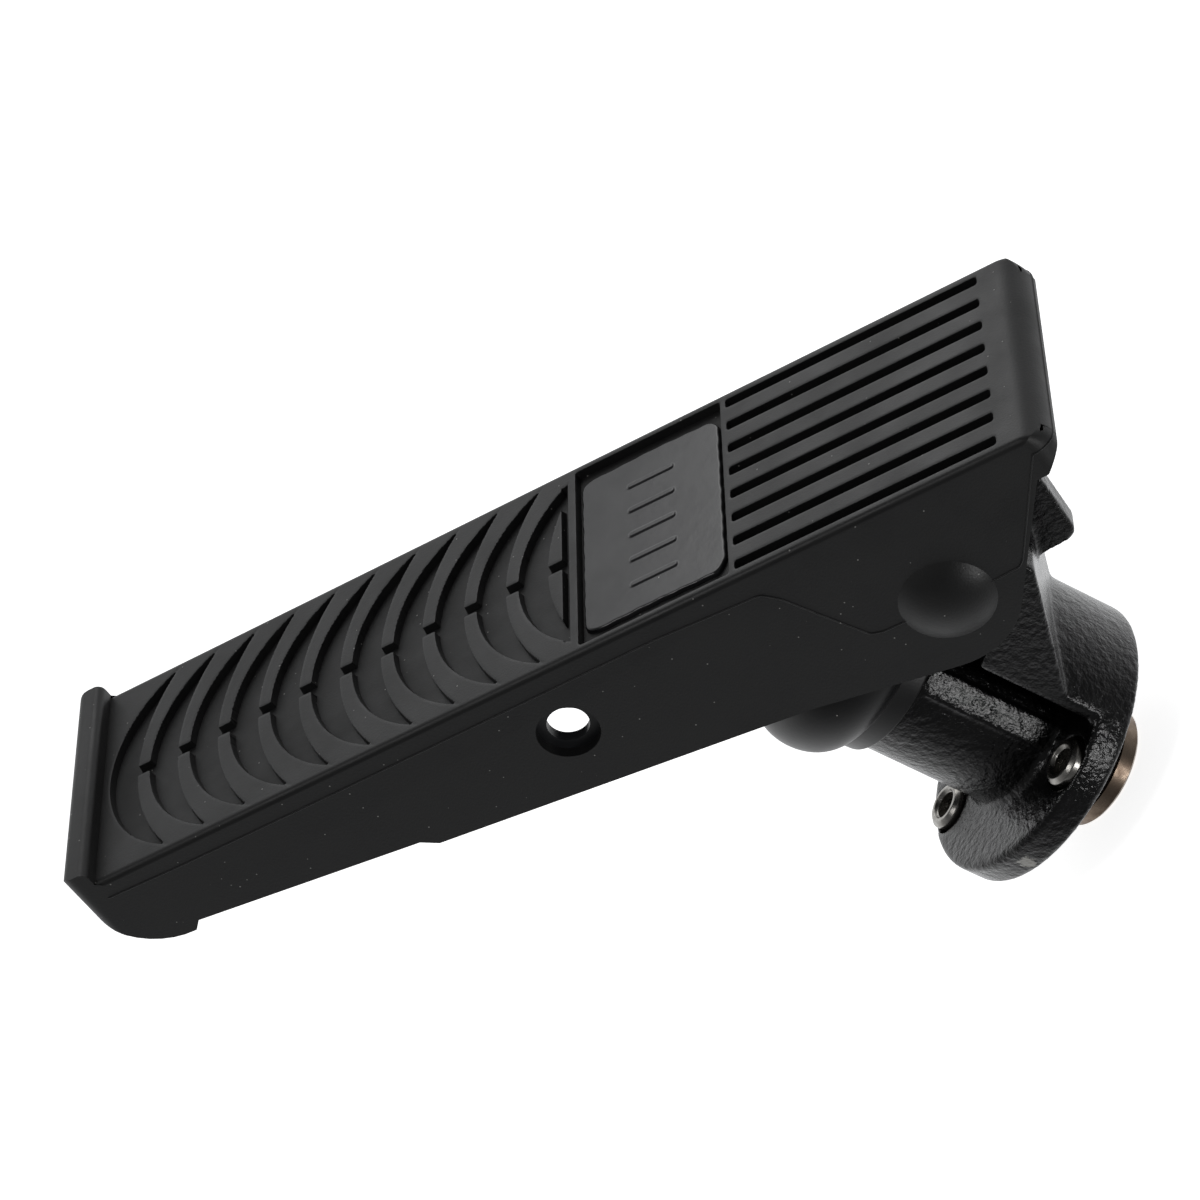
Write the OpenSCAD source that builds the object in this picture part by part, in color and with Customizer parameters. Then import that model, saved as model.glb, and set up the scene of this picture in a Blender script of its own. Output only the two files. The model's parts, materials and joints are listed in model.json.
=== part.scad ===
// Treadle foot pedal on a cast bracket: a long rubber-covered pedal hinged over a
// round mounting flange, pressing a spring-returned plunger through a roller.
//
// Frame: +Z up along the plunger, origin on the plunger axis in the flange's
// mounting face, +X towards the toe end, the part symmetric about Y = 0. Pedal
// pieces are drawn in the pedal's own frame (pivot at the origin, +X towards the
// toe, +Z out of the tread) and laid in place by in_pedal().

/* [Pedal] */
// Width of the rubber cover over its side walls
pedal_w = 80; // [70:1:100]
// Pivot axis to the toe end of the cover
toe_reach = 261.7; // [210:0.1:315]
// Pivot axis to the heel end of the cover
heel_reach = 49.6; // [46:0.1:58]
// Pivot axis to the tread face, square to the tread
tread_h = 37.5; // [35:0.1:45]
// Pitch of the tread from level with the pedal released
rest_pitch = 25.6; // [20:0.1:30]
// Angle the pedal swings toe-down from rest to full travel
travel_deg = 15; // [8:0.5:15]

/* [Rubber cover] */
// Thickness of the cover's side walls
cover_wall = 3.5; // [2.5:0.1:4.5]
// Thickness of the cover over the frame's top plate
cover_top = 8; // [6:0.1:9]
// Rubber that wraps under the frame's lower edges
cover_wrap = 3; // [2:0.1:4]
// Thickness of the toe end, front to back
toe_lip_t = 8.3; // [6:0.1:12]
// Height of the toe lip above the tread
toe_lip_h = 5.3; // [3:0.1:8]
// Radius of the curve under the toe
toe_curve_r = 22; // [14:0.5:26]
// Radius of the side wall's curve round the pivot
heel_curve_r = 24; // [20:0.5:26]
// Radius of the cover's long upper edges
edge_r = 2; // [0.5:0.1:3]
// Radius of the cover's heel corners seen from above
heel_corner_r = 7; // [2:0.5:12]
// Radius of the dome over each end of the pivot pin
dome_r = 13.5; // [11:0.1:16]
// Height of the dome over the side wall
dome_h = 4.6; // [3.5:0.1:6]

/* [Tread pattern] */
// Depth of the arc pockets
pocket_depth = 2.4; // [1.5:0.1:3]
// Number of arc pockets
pocket_count = 11; // [8:1:12]
// Distance from one arc pocket to the next
pocket_pitch = 13.85; // [12:0.05:14.2]
// Radius of each pocket's toe-side arc
pocket_outer_r = 42.5; // [40:0.5:45]
// Radius of each pocket's heel-side arc
pocket_inner_r = 63.5; // [60:0.5:68]
// Width of each pocket on the centre line
pocket_w = 9.8; // [8:0.1:10.5]
// Width of the channel that parts the ribs on the centre line
channel_w = 4; // [2:0.5:8]
// Number of heel slots
slot_count = 8; // [4:1:9]
// Distance from one heel slot to the next
slot_pitch = 9.92; // [9:0.01:10.2]
// Width of a heel slot
slot_w = 3.7; // [2:0.1:5]
// Length of a heel slot
slot_len = 80; // [50:1:82]
// Depth of a heel slot
slot_depth = 3; // [1.5:0.1:4]
// Length of the badge plate along the pedal
badge_l = 45; // [35:0.5:46]
// Width of the badge plate across the pedal
badge_w = 65; // [45:0.5:67]
// Thickness of the badge plate
badge_t = 1.4; // [0.8:0.1:1.8]
// Corner radius of the badge plate
badge_r = 5; // [2:0.5:8]

/* [Steel frame] */
// Thickness of the frame's sheet
frame_t = 3.3; // [2.5:0.1:3.5]
// Diameter of the side holes in the cover
side_hole_d = 18; // [14:0.5:20]
// Diameter of the side holes in the steel frame
frame_hole_d = 12; // [8:0.5:12]
// Side holes' distance from the pivot along the pedal
side_hole_x = 110.9; // [100:0.1:120]
// Side holes' height over the pivot
side_hole_z = 14.5; // [13:0.1:16]

/* [Pivot] */
// Height of the pivot axis over the mounting face
pivot_h = 78; // [74:0.5:90]
// Distance of the pivot axis behind the plunger axis
pivot_back = 55.5; // [52:0.5:62]
// Diameter of the pivot pin
pin_d = 12; // [10:0.5:14]
// Radial running clearance of the pivot pin in its bushes
pin_fit = 0.05; // [0.02:0.01:0.1]
// Wall of the pivot bushes
bush_wall = 2; // [1.5:0.1:3]

/* [Cast bracket] */
// Radius of the mounting flange
flange_r = 42.9; // [40:0.1:50]
// Thickness of the mounting flange
flange_t = 10.6; // [9:0.1:14]
// Radius of the plunger boss
boss_r = 23.3; // [22:0.1:27]
// Height of the top of the boss
boss_top = 60; // [56:0.5:62]
// Thickness of each bearing ear
ear_t = 12; // [9:0.5:13]
// Gap between the two ears
fork_gap = 28; // [24:0.5:30]
// Radius of the ears round the pivot
ear_r = 14; // [12:0.5:16]
// Height at which the wall behind the flange starts to lean back
rear_wall_top = 27.5; // [22:0.5:30]
// Thickness of the wall behind the flange
rear_wall_t = 6; // [4:0.5:8]
// Thickness of the stop lug behind the ears
lug_t = 8; // [6:0.5:14]

/* [Flange screws] */
// Pitch circle diameter of the flange screws
screw_pcd = 70; // [68:0.5:72]
// Thread diameter of the flange screws
screw_d = 10; // [8:1:10]
// Head diameter of the flange screws
screw_head_d = 15.6; // [13:0.1:16]
// Head height of the flange screws
screw_head_h = 8; // [6:0.5:8]
// How far the heads stand out of their counterbores
screw_proud = 2; // [1:0.5:3]

/* [Plunger] */
// Outside diameter of the guide sleeve
sleeve_d = 34; // [32:0.5:36]
// Diameter of the pilot land under the flange and of the sleeve's end rim
pilot_d = 35.6; // [35.2:0.1:40]
// How far the sleeve reaches below the mounting face
sleeve_drop = 18.5; // [17:0.5:24]
// Diameter of the plunger rod
rod_d = 16; // [14:0.5:18]
// Radial running clearance of the plunger rod
rod_fit = 0.06; // [0.03:0.01:0.1]
// Diameter of the roller under the pedal
roller_d = 20; // [16:0.5:22]
// Height of the plunger's wear face with the pedal released
plunger_top = 104; // [102:0.5:106]

/* [Boot] */
// Largest radius of the rubber boot
boot_r = 32.3; // [30:0.1:33]
// Wall of the boot
boot_wall = 2.2; // [1.6:0.1:3]

/* [Springs] */
// Wire diameter of the return spring
spring_wire = 2.6; // [2:0.1:3]
// Working turns of the return spring
spring_turns = 7; // [5:1:8]

/* [Hidden] */
$fn = 96;

eps = 0.01;
// Room left between parts that are assembled by hand
slip = 0.1;
// Extra length of a cutting tool past the face it cuts
over = 1;

// Pedal section
half_w = pedal_w / 2;
frame_half_w = half_w - cover_wall;
frame_inner_w = 2 * (frame_half_w - frame_t);
frame_top = tread_h - cover_top;
frame_under = frame_top - frame_t;
toe_inner = toe_reach - toe_lip_t;

// Side outline of the cover: the rear edge leans out to the heel, the belly rises
// to the toe in straight runs, and the rubber steps up where it does not wrap the
// frame. Each corner is [along, up, radius].
rear_top = heel_reach;
rear_lean = 1.473;
rear_foot = [-rear_top + (tread_h + 25.3) / rear_lean, -25.3];
belly_heel = [51, -14.2];
belly_back = [toe_reach - 98.5, -1.4];
belly_back_up = [toe_reach - 94, 1.8];
belly_front_up = [toe_reach - 25, 10.4];
belly_front = [toe_reach - 22.4, 7.6];
lip_round = 2.6;

// Side outline of the steel frame inside the cover
frame_heel = heel_reach - 6;
frame_toe = toe_inner;
frame_inset = 0.8;

// Tread pattern, measured from the inner edge of the toe lip towards the heel
first_pocket = 2.5;
pocket_half = 37;
groove_l = 2.3;
ridge_l = 2.4;
groove_x = toe_inner - first_pocket - pocket_pitch * pocket_count - 0.5;
recess_x1 = groove_x - groove_l - ridge_l;
badge_gap = 1.3;
recess_l = badge_l + 2 * badge_gap;
recess_w = badge_w + 9;
recess_depth = 2.6;
recess_mid = recess_x1 - recess_l / 2;
slot_x0 = recess_x1 - recess_l - 1.6 - slot_len;

// Bracket: the ears' front face, and the leaning line of their rear edge
ear_in = fork_gap / 2;
ear_out = ear_in + ear_t;
ear_front = -pivot_back + 25;
rear_low = [-flange_r + 1.6, rear_wall_top + 1.6];
rear_high = [-pivot_back - 11.3, pivot_h - 22];
rear_run = (rear_high[0] - rear_low[0]) / (rear_high[1] - rear_low[1]);
sleeve_r = sleeve_d / 2;
pilot_r = pilot_d / 2;
neck_r = sleeve_r - 1.2;
land_l = 5;
rim_l = 5;
boss_lip = 6;
sleeve_top = boss_top - boss_lip;
screw_r = screw_pcd / 2;
screw_angles = [0, 120, 240];
bore_floor = flange_t + screw_proud - screw_head_h;

// Plunger stack
rod_r = rod_d / 2;
guide_len = 13;
chamber_r = rod_r + 5;
chamber_top = sleeve_top - guide_len;
seat_top = -sleeve_drop + 8;
seat_t = 3;
clip_t = 1.6;
collar_t = 4;
collar_top = chamber_top - 0.3;
wear_t = 5;
wear_r = 15;
roller_r = roller_d / 2;
roller_gap = 0.15;
roller_mid = plunger_top + roller_gap + roller_r;
roller_w = 15;

// Roller centre in the pedal's own frame
roller_x = pivot_back * cos(rest_pitch) + (roller_mid - pivot_h) * sin(rest_pitch);
roller_z = (roller_mid - pivot_h) * cos(rest_pitch) - pivot_back * sin(rest_pitch);
roller_pin_d = 8;
cheek_t = 3;
cheek_in = roller_w / 2 + 0.5;
foot_l = 46;
foot_t = 3;
bolt_span = 32;
bolt_d = 6;

// Rest bumper under the frame's top plate behind the pivot
bumper_x = -24.5;
bumper_r = 5.5;
bumper_h = 9;
bumper_gap = 0.2;
bumper_screw_d = 5;

// Outer length of the pin, from under one dome to under the other
pin_half = half_w - 0.6;
groove_t = 1.3;
groove_mid = frame_half_w + 1;

// ---- Shape helpers ----

// Unit vector along v
function unit(v) = v / norm(v);

// Points of the arc of radius r that rounds corner c between neighbours a and b
function corner_arc(a, c, b, r, n = 10) =
  let (u = unit(a - c), w = unit(b - c))
  let (half = acos(u * w) / 2)
  let (centre = c + unit(u + w) * r / sin(half))
  let (s = c + u * r / tan(half) - centre, e = c + w * r / tan(half) - centre)
  let (a0 = atan2(s[1], s[0]), turn = atan2(s[0] * e[1] - s[1] * e[0], s * e))
  [for (i = [0:n]) centre + r * [cos(a0 + turn * i / n), sin(a0 + turn * i / n)]];

// Outline through corners given as [x, y, radius], radius 0 left sharp
function rounded(corners) =
  let (n = len(corners))
  [for (i = [0:n - 1])
    let (q = corners[i], p = corners[(i + n - 1) % n], s = corners[(i + 1) % n])
    each q[2] == 0
      ? [[q[0], q[1]]]
      : corner_arc([p[0], p[1]], [q[0], q[1]], [s[0], s[1]], q[2])];

// Lay a pedal piece in place at rest
module in_pedal() {
  translate([-pivot_back, 0, pivot_h]) rotate([0, -rest_pitch, 0]) children();
}

// Extrude an outline drawn along X and Z to a width centred on Y = 0
module across(w) {
  rotate([90, 0, 0]) linear_extrude(height = w, center = true) children();
}

// Cylinder along Y from y0 to y1
module along_y(r, y0, y1, at = [0, 0]) {
  translate([at[0], y0, at[1]]) rotate([-90, 0, 0]) cylinder(r = r, h = y1 - y0);
}

// A copy on each side of the middle plane
module both_sides() {
  children();
  mirror([0, 1, 0]) children();
}

// Flat ring
module ring(r_out, r_in, z0, z1) {
  translate([0, 0, z0]) difference() {
    cylinder(r = r_out, h = z1 - z0);
    translate([0, 0, -over]) cylinder(r = r_in, h = z1 - z0 + 2 * over);
  }
}

// Block between two corners
module span(a, b) {
  translate(a) cube(b - a);
}

// ---- Pedal outlines ----

module cover_outline() {
  polygon(rounded([
    [-rear_top, tread_h, 0],
    [rear_foot[0], rear_foot[1], heel_curve_r],
    [belly_heel[0], belly_heel[1], 0],
    [belly_back[0], belly_back[1], 0],
    [belly_back_up[0], belly_back_up[1], 0],
    [belly_front_up[0], belly_front_up[1], 0],
    [belly_front[0], belly_front[1], 0],
    [toe_reach, belly_front[1], toe_curve_r],
    [toe_reach, tread_h + toe_lip_h, lip_round],
    [toe_inner, tread_h + toe_lip_h, lip_round],
    [toe_inner, tread_h, 0]
  ]));
}

module frame_outline() {
  w = cover_wrap;
  lean = w * sqrt(1 + 1 / (rear_lean * rear_lean));
  polygon(rounded([
    [-frame_heel, frame_top, 0],
    [-frame_heel, frame_under, 0],
    [-rear_top + (tread_h - frame_under) / rear_lean + lean, frame_under, 0],
    [rear_foot[0] + 1.5, rear_foot[1] + w + 0.3, heel_curve_r - w],
    [belly_heel[0], belly_heel[1] + w, 0],
    [belly_back[0], belly_back[1] + w, 0],
    [belly_back_up[0], belly_back_up[1] + frame_inset, 0],
    [belly_front_up[0], belly_front_up[1] + frame_inset, 0],
    [frame_toe, belly_front_up[1] + frame_inset, toe_curve_r - toe_lip_t],
    [frame_toe, frame_top, 0]
  ]));
}

// ---- Cast bracket ----

// Point of the pedal's middle plane, from its own frame to the bracket's at rest
function at_rest(x, z) = [
  -pivot_back + x * cos(rest_pitch) - z * sin(rest_pitch),
  pivot_h + x * sin(rest_pitch) + z * cos(rest_pitch)
];

// Side outline of an ear: a block above the leaning rear line, necked to the pivot
module ear_side() {
  shoulder = [ear_front, pivot_h - 29.6];
  neck = [ear_front - 11, pivot_h - 25.5];
  hull() {
    translate([-pivot_back, pivot_h]) circle(r = ear_r);
    polygon([neck, rear_high, [neck[0], neck[1] - 6]]);
  }
  polygon([
    [ear_front, rear_low[1] + (ear_front - rear_low[0]) / rear_run],
    shoulder,
    neck,
    rear_high
  ]);
}

// Wall that leans back between the ears
module rear_web() {
  across(2 * ear_in + 2 * over) polygon([
    rear_high,
    rear_low,
    [rear_low[0] + rear_wall_t + 2, rear_low[1]],
    [rear_high[0] + rear_wall_t + 3, rear_high[1]]
  ]);
}

// Stop lug whose top the pedal's rest bumper meets
module stop_lug() {
  top = frame_under - bumper_h - bumper_gap;
  heel = at_rest(bumper_x - bumper_r, top);
  toe = at_rest(bumper_x + bumper_r, top);
  across(lug_t) polygon(rounded([
    [-pivot_back + 1.5, pivot_h - 30.9, 0],
    [-pivot_back - 14.2, pivot_h - 37.2, 4],
    [heel[0], heel[1], 0],
    [toe[0], toe[1], 0],
    [rear_high[0] + 6, rear_high[1], 0]
  ]));
}

module cast_bracket() {
  color("#15171a") difference() {
    union() {
      // Flange, its rounded upper edge, and the boss with its root fillet
      rotate_extrude() polygon(rounded([
        [0, 0, 0],
        [flange_r, 0, 0.6],
        [flange_r, flange_t, 1.8],
        [boss_r, flange_t, 2.5],
        [boss_r, boss_top, 1],
        [0, boss_top, 0]
      ]));
      // Flat cast rib down the boss
      rotate([0, 0, 128]) span([boss_r - 3, -4.2, flange_t - over], [boss_r + 0.7, 4.2, boss_top - 6]);
      both_sides() translate([0, (ear_in + ear_out) / 2, 0]) across(ear_t) ear_side();
      rear_web();
      stop_lug();
      // Rib from the boss back to the leaning wall
      span([ear_front - 3, -5, flange_t - over], [-boss_r + 2, 5, pivot_h - 32]);
      // Wall round the flange's rear, between the ears' feet
      intersection() {
        difference() {
          cylinder(r = flange_r, h = rear_low[1] + 2);
          difference() {
            cylinder(r = flange_r - rear_wall_t, h = rear_low[1] + 2 + over);
            both_sides() span([-flange_r, ear_in, -over], [ear_front, ear_out, rear_low[1] + 4]);
          }
        }
        span([-flange_r - over, -ear_out, flange_t - over], [ear_front, ear_out, rear_low[1] + 2]);
      }
    }
    // Plunger chamber and the rod's way out
    translate([0, 0, -over]) cylinder(r = sleeve_r, h = sleeve_top + over);
    // Chamfered mouth, wider than the sleeve's land
    translate([0, 0, -over])
      cylinder(r1 = pilot_r + 0.4 + over, r2 = sleeve_r, h = pilot_r + 0.4 - sleeve_r + over);
    cylinder(r = rod_r + 4, h = boss_top + over);
    // Pivot bush bores
    along_y(pin_d / 2 + bush_wall, -ear_out - over, ear_out + over, [-pivot_back, pivot_h]);
    // Flange screw holes and their counterbores
    for (a = screw_angles) rotate([0, 0, a]) translate([screw_r, 0, 0]) {
      translate([0, 0, -over]) cylinder(r = screw_d / 2 + slip, h = flange_t + 2 * over);
      translate([0, 0, bore_floor]) cylinder(r = screw_head_d / 2 + 0.5, h = flange_t);
    }
  }
}

module flange_screws() {
  color("#b9bcc0") for (a = screw_angles) rotate([0, 0, a]) translate([screw_r, 0, 0]) {
    difference() {
      union() {
        translate([0, 0, 0.4]) cylinder(r = screw_d / 2, h = bore_floor);
        translate([0, 0, bore_floor]) cylinder(r = screw_head_d / 2, h = screw_head_h - 1.2);
        translate([0, 0, bore_floor + screw_head_h - 1.2])
          cylinder(r1 = screw_head_d / 2, r2 = screw_head_d / 2 - 1.2, h = 1.2);
      }
      translate([0, 0, bore_floor + 3]) cylinder(d = screw_d * 0.92, h = screw_head_h, $fn = 6);
    }
  }
}

module pivot_bushes() {
  color("#9a7a45") both_sides() difference() {
    along_y(pin_d / 2 + bush_wall, ear_in, ear_out, [-pivot_back, pivot_h]);
    along_y(pin_d / 2 + pin_fit, ear_in - over, ear_out + over, [-pivot_back, pivot_h]);
  }
}

// ---- Plunger unit ----

module guide_sleeve() {
  color("#7b6a5a") rotate_extrude() polygon([
    [chamber_r, -sleeve_drop],
    [pilot_r - 0.8, -sleeve_drop],
    [pilot_r, -sleeve_drop + 0.8],
    [pilot_r, -sleeve_drop + rim_l],
    [neck_r, -sleeve_drop + rim_l],
    [neck_r, -land_l],
    [pilot_r, -land_l],
    [pilot_r, 0],
    [sleeve_r, 0],
    [sleeve_r, sleeve_top],
    [rod_r + rod_fit, sleeve_top],
    [rod_r + rod_fit, chamber_top],
    [chamber_r, chamber_top],
    [chamber_r, seat_top - seat_t],
    [chamber_r + 1, seat_top - seat_t],
    [chamber_r + 1, seat_top - seat_t - clip_t],
    [chamber_r, seat_top - seat_t - clip_t]
  ]);
}

// Rubber ring that fills most of the groove between the land and the rim
module sleeve_seal() {
  color("#1b1b1c") ring(pilot_r - 0.2, neck_r, -sleeve_drop + rim_l + 0.8, -land_l - 0.8);
}

module lower_spring_seat() {
  color("#8d9094") ring(chamber_r - slip, rod_r + 0.6, seat_top - seat_t, seat_top);
}

module seat_circlip() {
  color("#3a3d40") difference() {
    ring(chamber_r + 0.8, rod_r + 2, seat_top - seat_t - clip_t + 0.05, seat_top - seat_t);
    span([rod_r, -3, -sleeve_drop - over], [chamber_r + 4, 3, seat_top]);
  }
}

module rod_wiper() {
  color("#1b1b1c") ring(rod_r + 4, rod_r + rod_fit, sleeve_top, boss_top);
}

// Closed wire of radius w wound at radius r from z0 to z1
module coil(r, w, z0, z1, turns) {
  sides = 8;
  steps = 20;
  n = turns * steps;
  rise = (z1 - z0 - 2 * w) / n;
  points = [for (i = [0:n], j = [0:sides - 1])
    let (a = 360 * i / steps, b = 360 * j / sides, q = r + w * cos(b))
    [q * cos(a), q * sin(a), z0 + w + rise * i + w * sin(b)]];
  skin = [for (i = [0:n - 1], j = [0:sides - 1])
    let (k = (j + 1) % sides)
    [i * sides + j, i * sides + k, (i + 1) * sides + k, (i + 1) * sides + j]];
  ends = [[for (j = [0:sides - 1]) sides - 1 - j], [for (j = [0:sides - 1]) n * sides + j]];
  polyhedron(points = points, faces = concat(skin, ends), convexity = 10);
}

module return_spring() {
  color("#6f7478") coil(chamber_r - spring_wire / 2 - 0.5, spring_wire / 2,
    seat_top + 0.05, collar_top - collar_t - 0.05, spring_turns);
}

module rubber_boot() {
  skirt_z = boss_top - 4.6;
  skirt_r = boss_r + 1.9;
  neck_z = plunger_top - wear_t - 4;
  w = boot_wall;
  color("#161617") rotate_extrude() polygon(concat(
    [
      [boss_r, skirt_z],
      [skirt_r, skirt_z],
      [skirt_r + 0.5, skirt_z + 7]
    ],
    [for (i = [0:16]) let (a = -62 + 124 * i / 16)
      [boot_r - 7 + 7 * cos(a), skirt_z + 18 + 11 * sin(a)]],
    [
      [rod_r + w + 2, neck_z - 5],
      [rod_r + w + 1, neck_z + 4],
      [rod_r, neck_z + 4],
      [rod_r, neck_z - 5 - w]
    ],
    [for (i = [0:16]) let (a = 58 - 110 * i / 16)
      [boot_r - 7 - w + 7 * cos(a), skirt_z + 18 + (11 - w) * sin(a)]],
    [[boss_r, boss_top]]
  ));
}

module plunger_rod() {
  color("#c3c6c9") difference() {
    translate([0, 0, seat_top - 3]) cylinder(r = rod_r, h = plunger_top - wear_t - seat_top + 3);
    ring(rod_r + over, rod_r - 1, collar_top - collar_t - clip_t, collar_top - collar_t);
    translate([0, 0, plunger_top - wear_t - 10]) cylinder(r = 4, h = 11);
  }
}

module wear_button() {
  color("#a9adb1") {
    translate([0, 0, plunger_top - wear_t]) rotate_extrude() polygon(rounded([
      [0, 0, 0],
      [wear_r, 0, 1],
      [wear_r, wear_t, 1],
      [0, wear_t, 0]
    ]));
    translate([0, 0, plunger_top - wear_t - 9]) cylinder(r = 4, h = 9 + eps);
  }
}

module spring_collar() {
  color("#8d9094") ring(chamber_r - 0.4, rod_r, collar_top - collar_t, collar_top);
}

module collar_circlip() {
  color("#3a3d40") difference() {
    ring(rod_r + 1.2, rod_r - 1, collar_top - collar_t - clip_t, collar_top - collar_t);
    span([0, -2, 0], [rod_r + 4, 2, collar_top]);
  }
}

// ---- Pedal ----

module pedal_frame() {
  color("#202326") in_pedal() difference() {
    across(2 * frame_half_w) frame_outline();
    across(frame_inner_w) translate([-heel_reach - over, -60]) square([400, frame_under + 60]);
    along_y(pin_d / 2, -half_w, half_w);
    along_y(frame_hole_d / 2, -half_w, half_w, [side_hole_x, side_hole_z]);
    for (x = [roller_x - bolt_span / 2, roller_x + bolt_span / 2])
      translate([x, 0, frame_under - over]) cylinder(r = bolt_d / 2 + slip, h = frame_t + 2 * over);
    translate([bumper_x, 0, 0]) {
      translate([0, 0, frame_under - over]) cylinder(r = bumper_screw_d / 2 + slip, h = frame_t + over);
      translate([0, 0, frame_top - 1.6]) cylinder(r = bumper_screw_d, h = 1.6 + over);
    }
  }
}

// One arc pocket, its toe-side arc touching x = 0
module crescent() {
  difference() {
    translate([-pocket_outer_r, 0]) circle(r = pocket_outer_r);
    translate([-pocket_w - pocket_inner_r, 0]) circle(r = pocket_inner_r);
  }
}

module tread_cuts() {
  deep = tread_h - pocket_depth;
  // Arc pockets, the channel that parts the ribs, and the straight groove after them
  translate([0, 0, deep]) linear_extrude(height = over + pocket_depth) {
    intersection() {
      for (k = [0:pocket_count - 1])
        translate([toe_inner - first_pocket - k * pocket_pitch, 0]) crescent();
      translate([groove_x - groove_l, -half_w]) square([toe_inner - groove_x + groove_l, pedal_w]);
    }
    translate([groove_x - over, -channel_w / 2])
      square([pocket_pitch * pocket_count - 3, channel_w]);
    translate([groove_x - groove_l, -pocket_half + 4]) square([groove_l, 2 * pocket_half - 8]);
  }
  // Recess for the badge plate
  span([recess_mid - recess_l / 2, -recess_w / 2, tread_h - recess_depth],
    [recess_mid + recess_l / 2, recess_w / 2, tread_h + over]);
  // Heel slots
  for (k = [0:slot_count - 1]) {
    y = (k - (slot_count - 1) / 2) * slot_pitch;
    span([slot_x0, y - slot_w / 2, tread_h - slot_depth], [slot_x0 + slot_len, y + slot_w / 2, tread_h + over]);
  }
}

module dome() {
  // Spherical cap of base radius dome_r and height dome_h on the side wall
  cap_r = (dome_r * dome_r + dome_h * dome_h) / (2 * dome_h);
  span_a = asin(dome_r / cap_r);
  rotate([-90, 0, 0]) translate([0, 0, half_w]) rotate_extrude() polygon(concat(
    [[0, -cover_wall]],
    [[dome_r, -cover_wall]],
    [for (i = [0:10]) let (a = span_a * (1 - i / 10))
      [cap_r * sin(a), cap_r * cos(a) - cap_r + dome_h]]
  ));
}

// Cover seen from above, its corners rounded
module cover_plan() {
  polygon(rounded([
    [-heel_reach, -half_w, heel_corner_r],
    [toe_reach, -half_w, toe_lip_t / 2],
    [toe_reach, half_w, toe_lip_t / 2],
    [-heel_reach, half_w, heel_corner_r]
  ]));
}

// Material above the rounded long edges of the tread, along one side
module edge_waste() {
  translate([-heel_reach - over, half_w - edge_r, tread_h - edge_r]) rotate([0, 90, 0])
    linear_extrude(height = heel_reach + toe_inner + over - lip_round) difference() {
      translate([-edge_r - over, 0]) square([edge_r + over, edge_r + over]);
      circle(r = edge_r, $fn = 48);
    }
}

module rubber_cover() {
  nose_t = 14;
  color("#1d1e20") in_pedal() difference() {
    union() {
      intersection() {
        union() {
          across(pedal_w) cover_outline();
          // Heel nose, thicker than the side walls' edge
          across(pedal_w) polygon(rounded([
            [-rear_top + 16, tread_h, 0],
            [-rear_top + 16, tread_h - nose_t, 0],
            [-heel_reach + 6, tread_h - nose_t, 1],
            [-heel_reach, tread_h - 9, 3],
            [-heel_reach, tread_h, 3.5]
          ]));
        }
        translate([0, 0, -60]) linear_extrude(height = 60 + tread_h + toe_lip_h + over) cover_plan();
      }
      both_sides() dome();
    }
    both_sides() edge_waste();
    across(2 * frame_half_w) frame_outline();
    across(frame_inner_w) translate([-frame_heel, -60]) square([frame_heel + frame_toe, frame_under + 60]);
    tread_cuts();
    // Pockets under the domes for the pin's ends and their clips
    both_sides() along_y(pin_d / 2 + 3, frame_half_w - eps, half_w + 0.4);
    both_sides() along_y(side_hole_d / 2, frame_half_w - eps, half_w + over, [side_hole_x, side_hole_z]);
  }
}

module badge_plate() {
  color("#0b0b0c") in_pedal() {
    z = tread_h - recess_depth;
    translate([recess_mid, 0, z]) linear_extrude(height = badge_t) polygon(rounded([
      [-badge_l / 2, -badge_w / 2, badge_r],
      [badge_l / 2, -badge_w / 2, badge_r],
      [badge_l / 2, badge_w / 2, badge_r],
      [-badge_l / 2, badge_w / 2, badge_r]
    ]));
    // Plain raised bars across the middle of the plate
    for (k = [-2:2]) translate([recess_mid, k * 10, z + badge_t - eps])
      span([-5, -1.2, 0], [5, 1.2, 0.5]);
  }
}

module pivot_pin() {
  color("#b4b7ba") in_pedal() difference() {
    along_y(pin_d / 2, -pin_half, pin_half);
    for (s = [-1, 1]) difference() {
      along_y(pin_d, s * groove_mid - groove_t / 2, s * groove_mid + groove_t / 2);
      along_y(pin_d / 2 - 0.8, -half_w, half_w);
    }
  }
}

module pin_circlips() {
  color("#3a3d40") in_pedal() both_sides() difference() {
    along_y(pin_d / 2 + 2.2, groove_mid - groove_t / 2 + 0.05, groove_mid + groove_t / 2 - 0.05);
    along_y(pin_d / 2 - 0.8, 0, half_w);
    span([-2, 0, 0], [2, half_w, pin_d]);
  }
}

module pivot_spacers() {
  color("#84878b") in_pedal() both_sides() difference() {
    along_y(pin_d / 2 + 4, ear_out + 0.3, frame_inner_w / 2);
    along_y(pin_d / 2, ear_out, frame_half_w);
  }
}

module roller_bracket() {
  color("#2a2d30") in_pedal() translate([roller_x, 0, 0]) difference() {
    union() {
      span([-foot_l / 2, -cheek_in - cheek_t, frame_under - foot_t], [foot_l / 2, cheek_in + cheek_t, frame_under]);
      both_sides() translate([0, cheek_in + cheek_t / 2, 0]) across(cheek_t) hull() {
        translate([0, roller_z]) circle(r = roller_d / 2 - 1.5);
        translate([-11, frame_under - foot_t]) square([22, 1]);
      }
    }
    along_y(roller_pin_d / 2, -half_w, half_w, [0, roller_z]);
    for (x = [-bolt_span / 2, bolt_span / 2])
      translate([x, 0, frame_under - foot_t - over]) cylinder(r = bolt_d / 2 + slip, h = foot_t + 2 * over);
  }
}

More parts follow.
